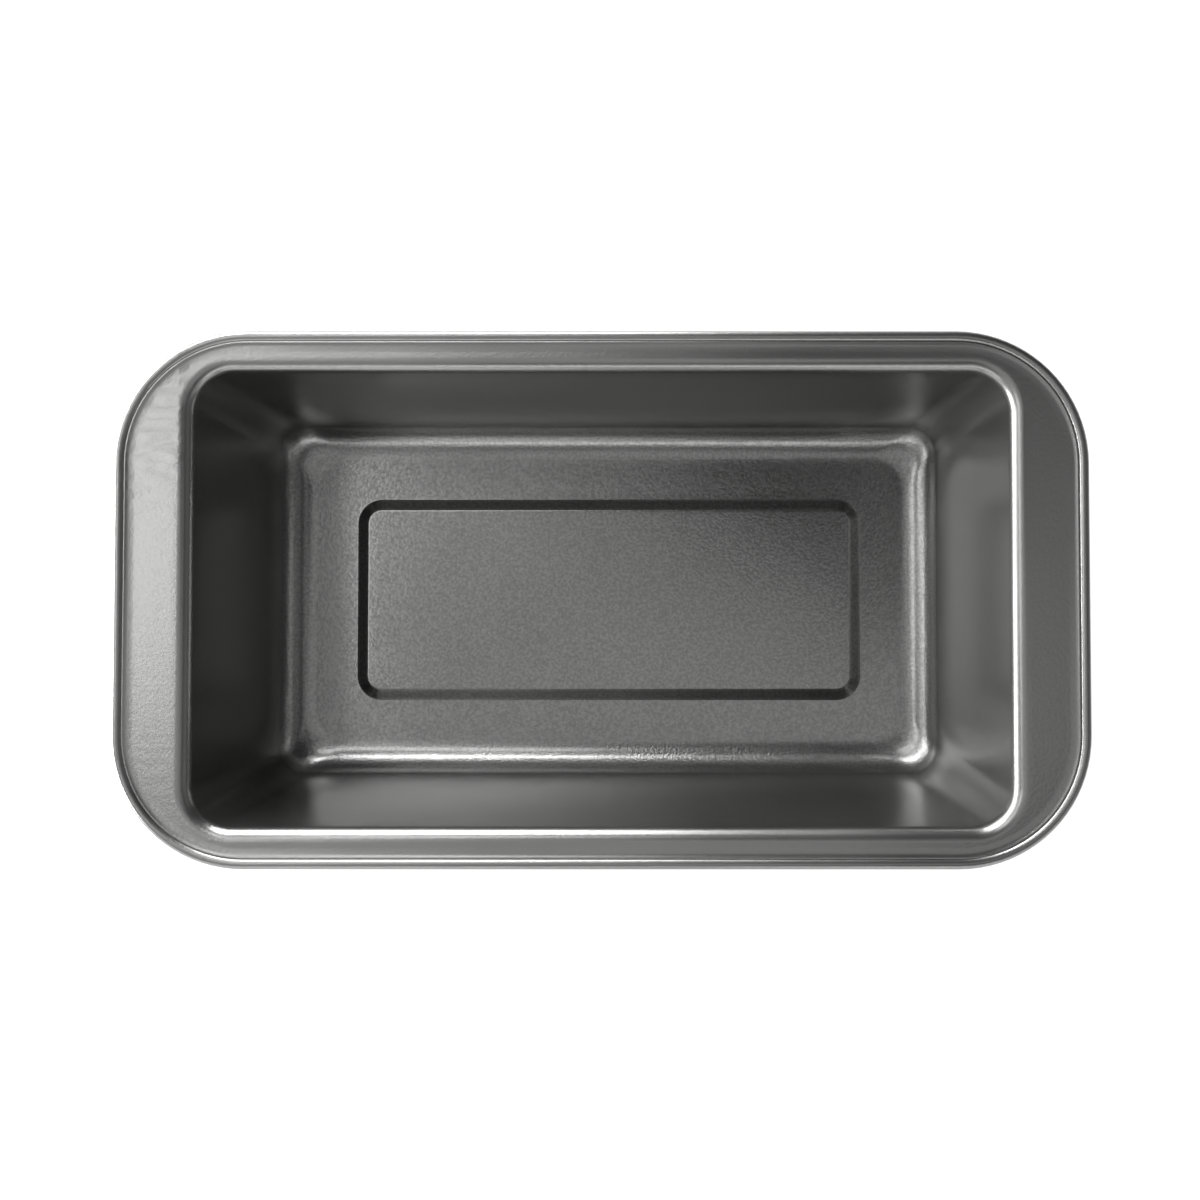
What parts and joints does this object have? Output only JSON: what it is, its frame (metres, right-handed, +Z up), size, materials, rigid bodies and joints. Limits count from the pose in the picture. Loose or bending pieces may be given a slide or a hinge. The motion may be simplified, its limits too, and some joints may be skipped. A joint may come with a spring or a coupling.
{
  "type": "loaf pan",
  "caption": "Rectangular drawn-steel loaf pan with drafted walls, a raised floor panel, broad end flanges and a wire-stiffened rolled rim.",
  "frame": {"origin": "middle of the bounding box in X and Y, at the underside of the foot ring that the pan stands on", "axes": "+X along the pan's length, +Y across its width, +Z up out of the mouth"},
  "size_m": [0.279, 0.1536, 0.0684],
  "materials": {
    "nonstick_coat": "satin dark grey metallic non-stick coating with a fine sand-like grain",
    "rim_wire": "plain drawn steel wire"
  },
  "bodies": {
    "root": {"pan_body": "nonstick_coat", "rim_wire": "rim_wire"}
  },
  "joints": []
}
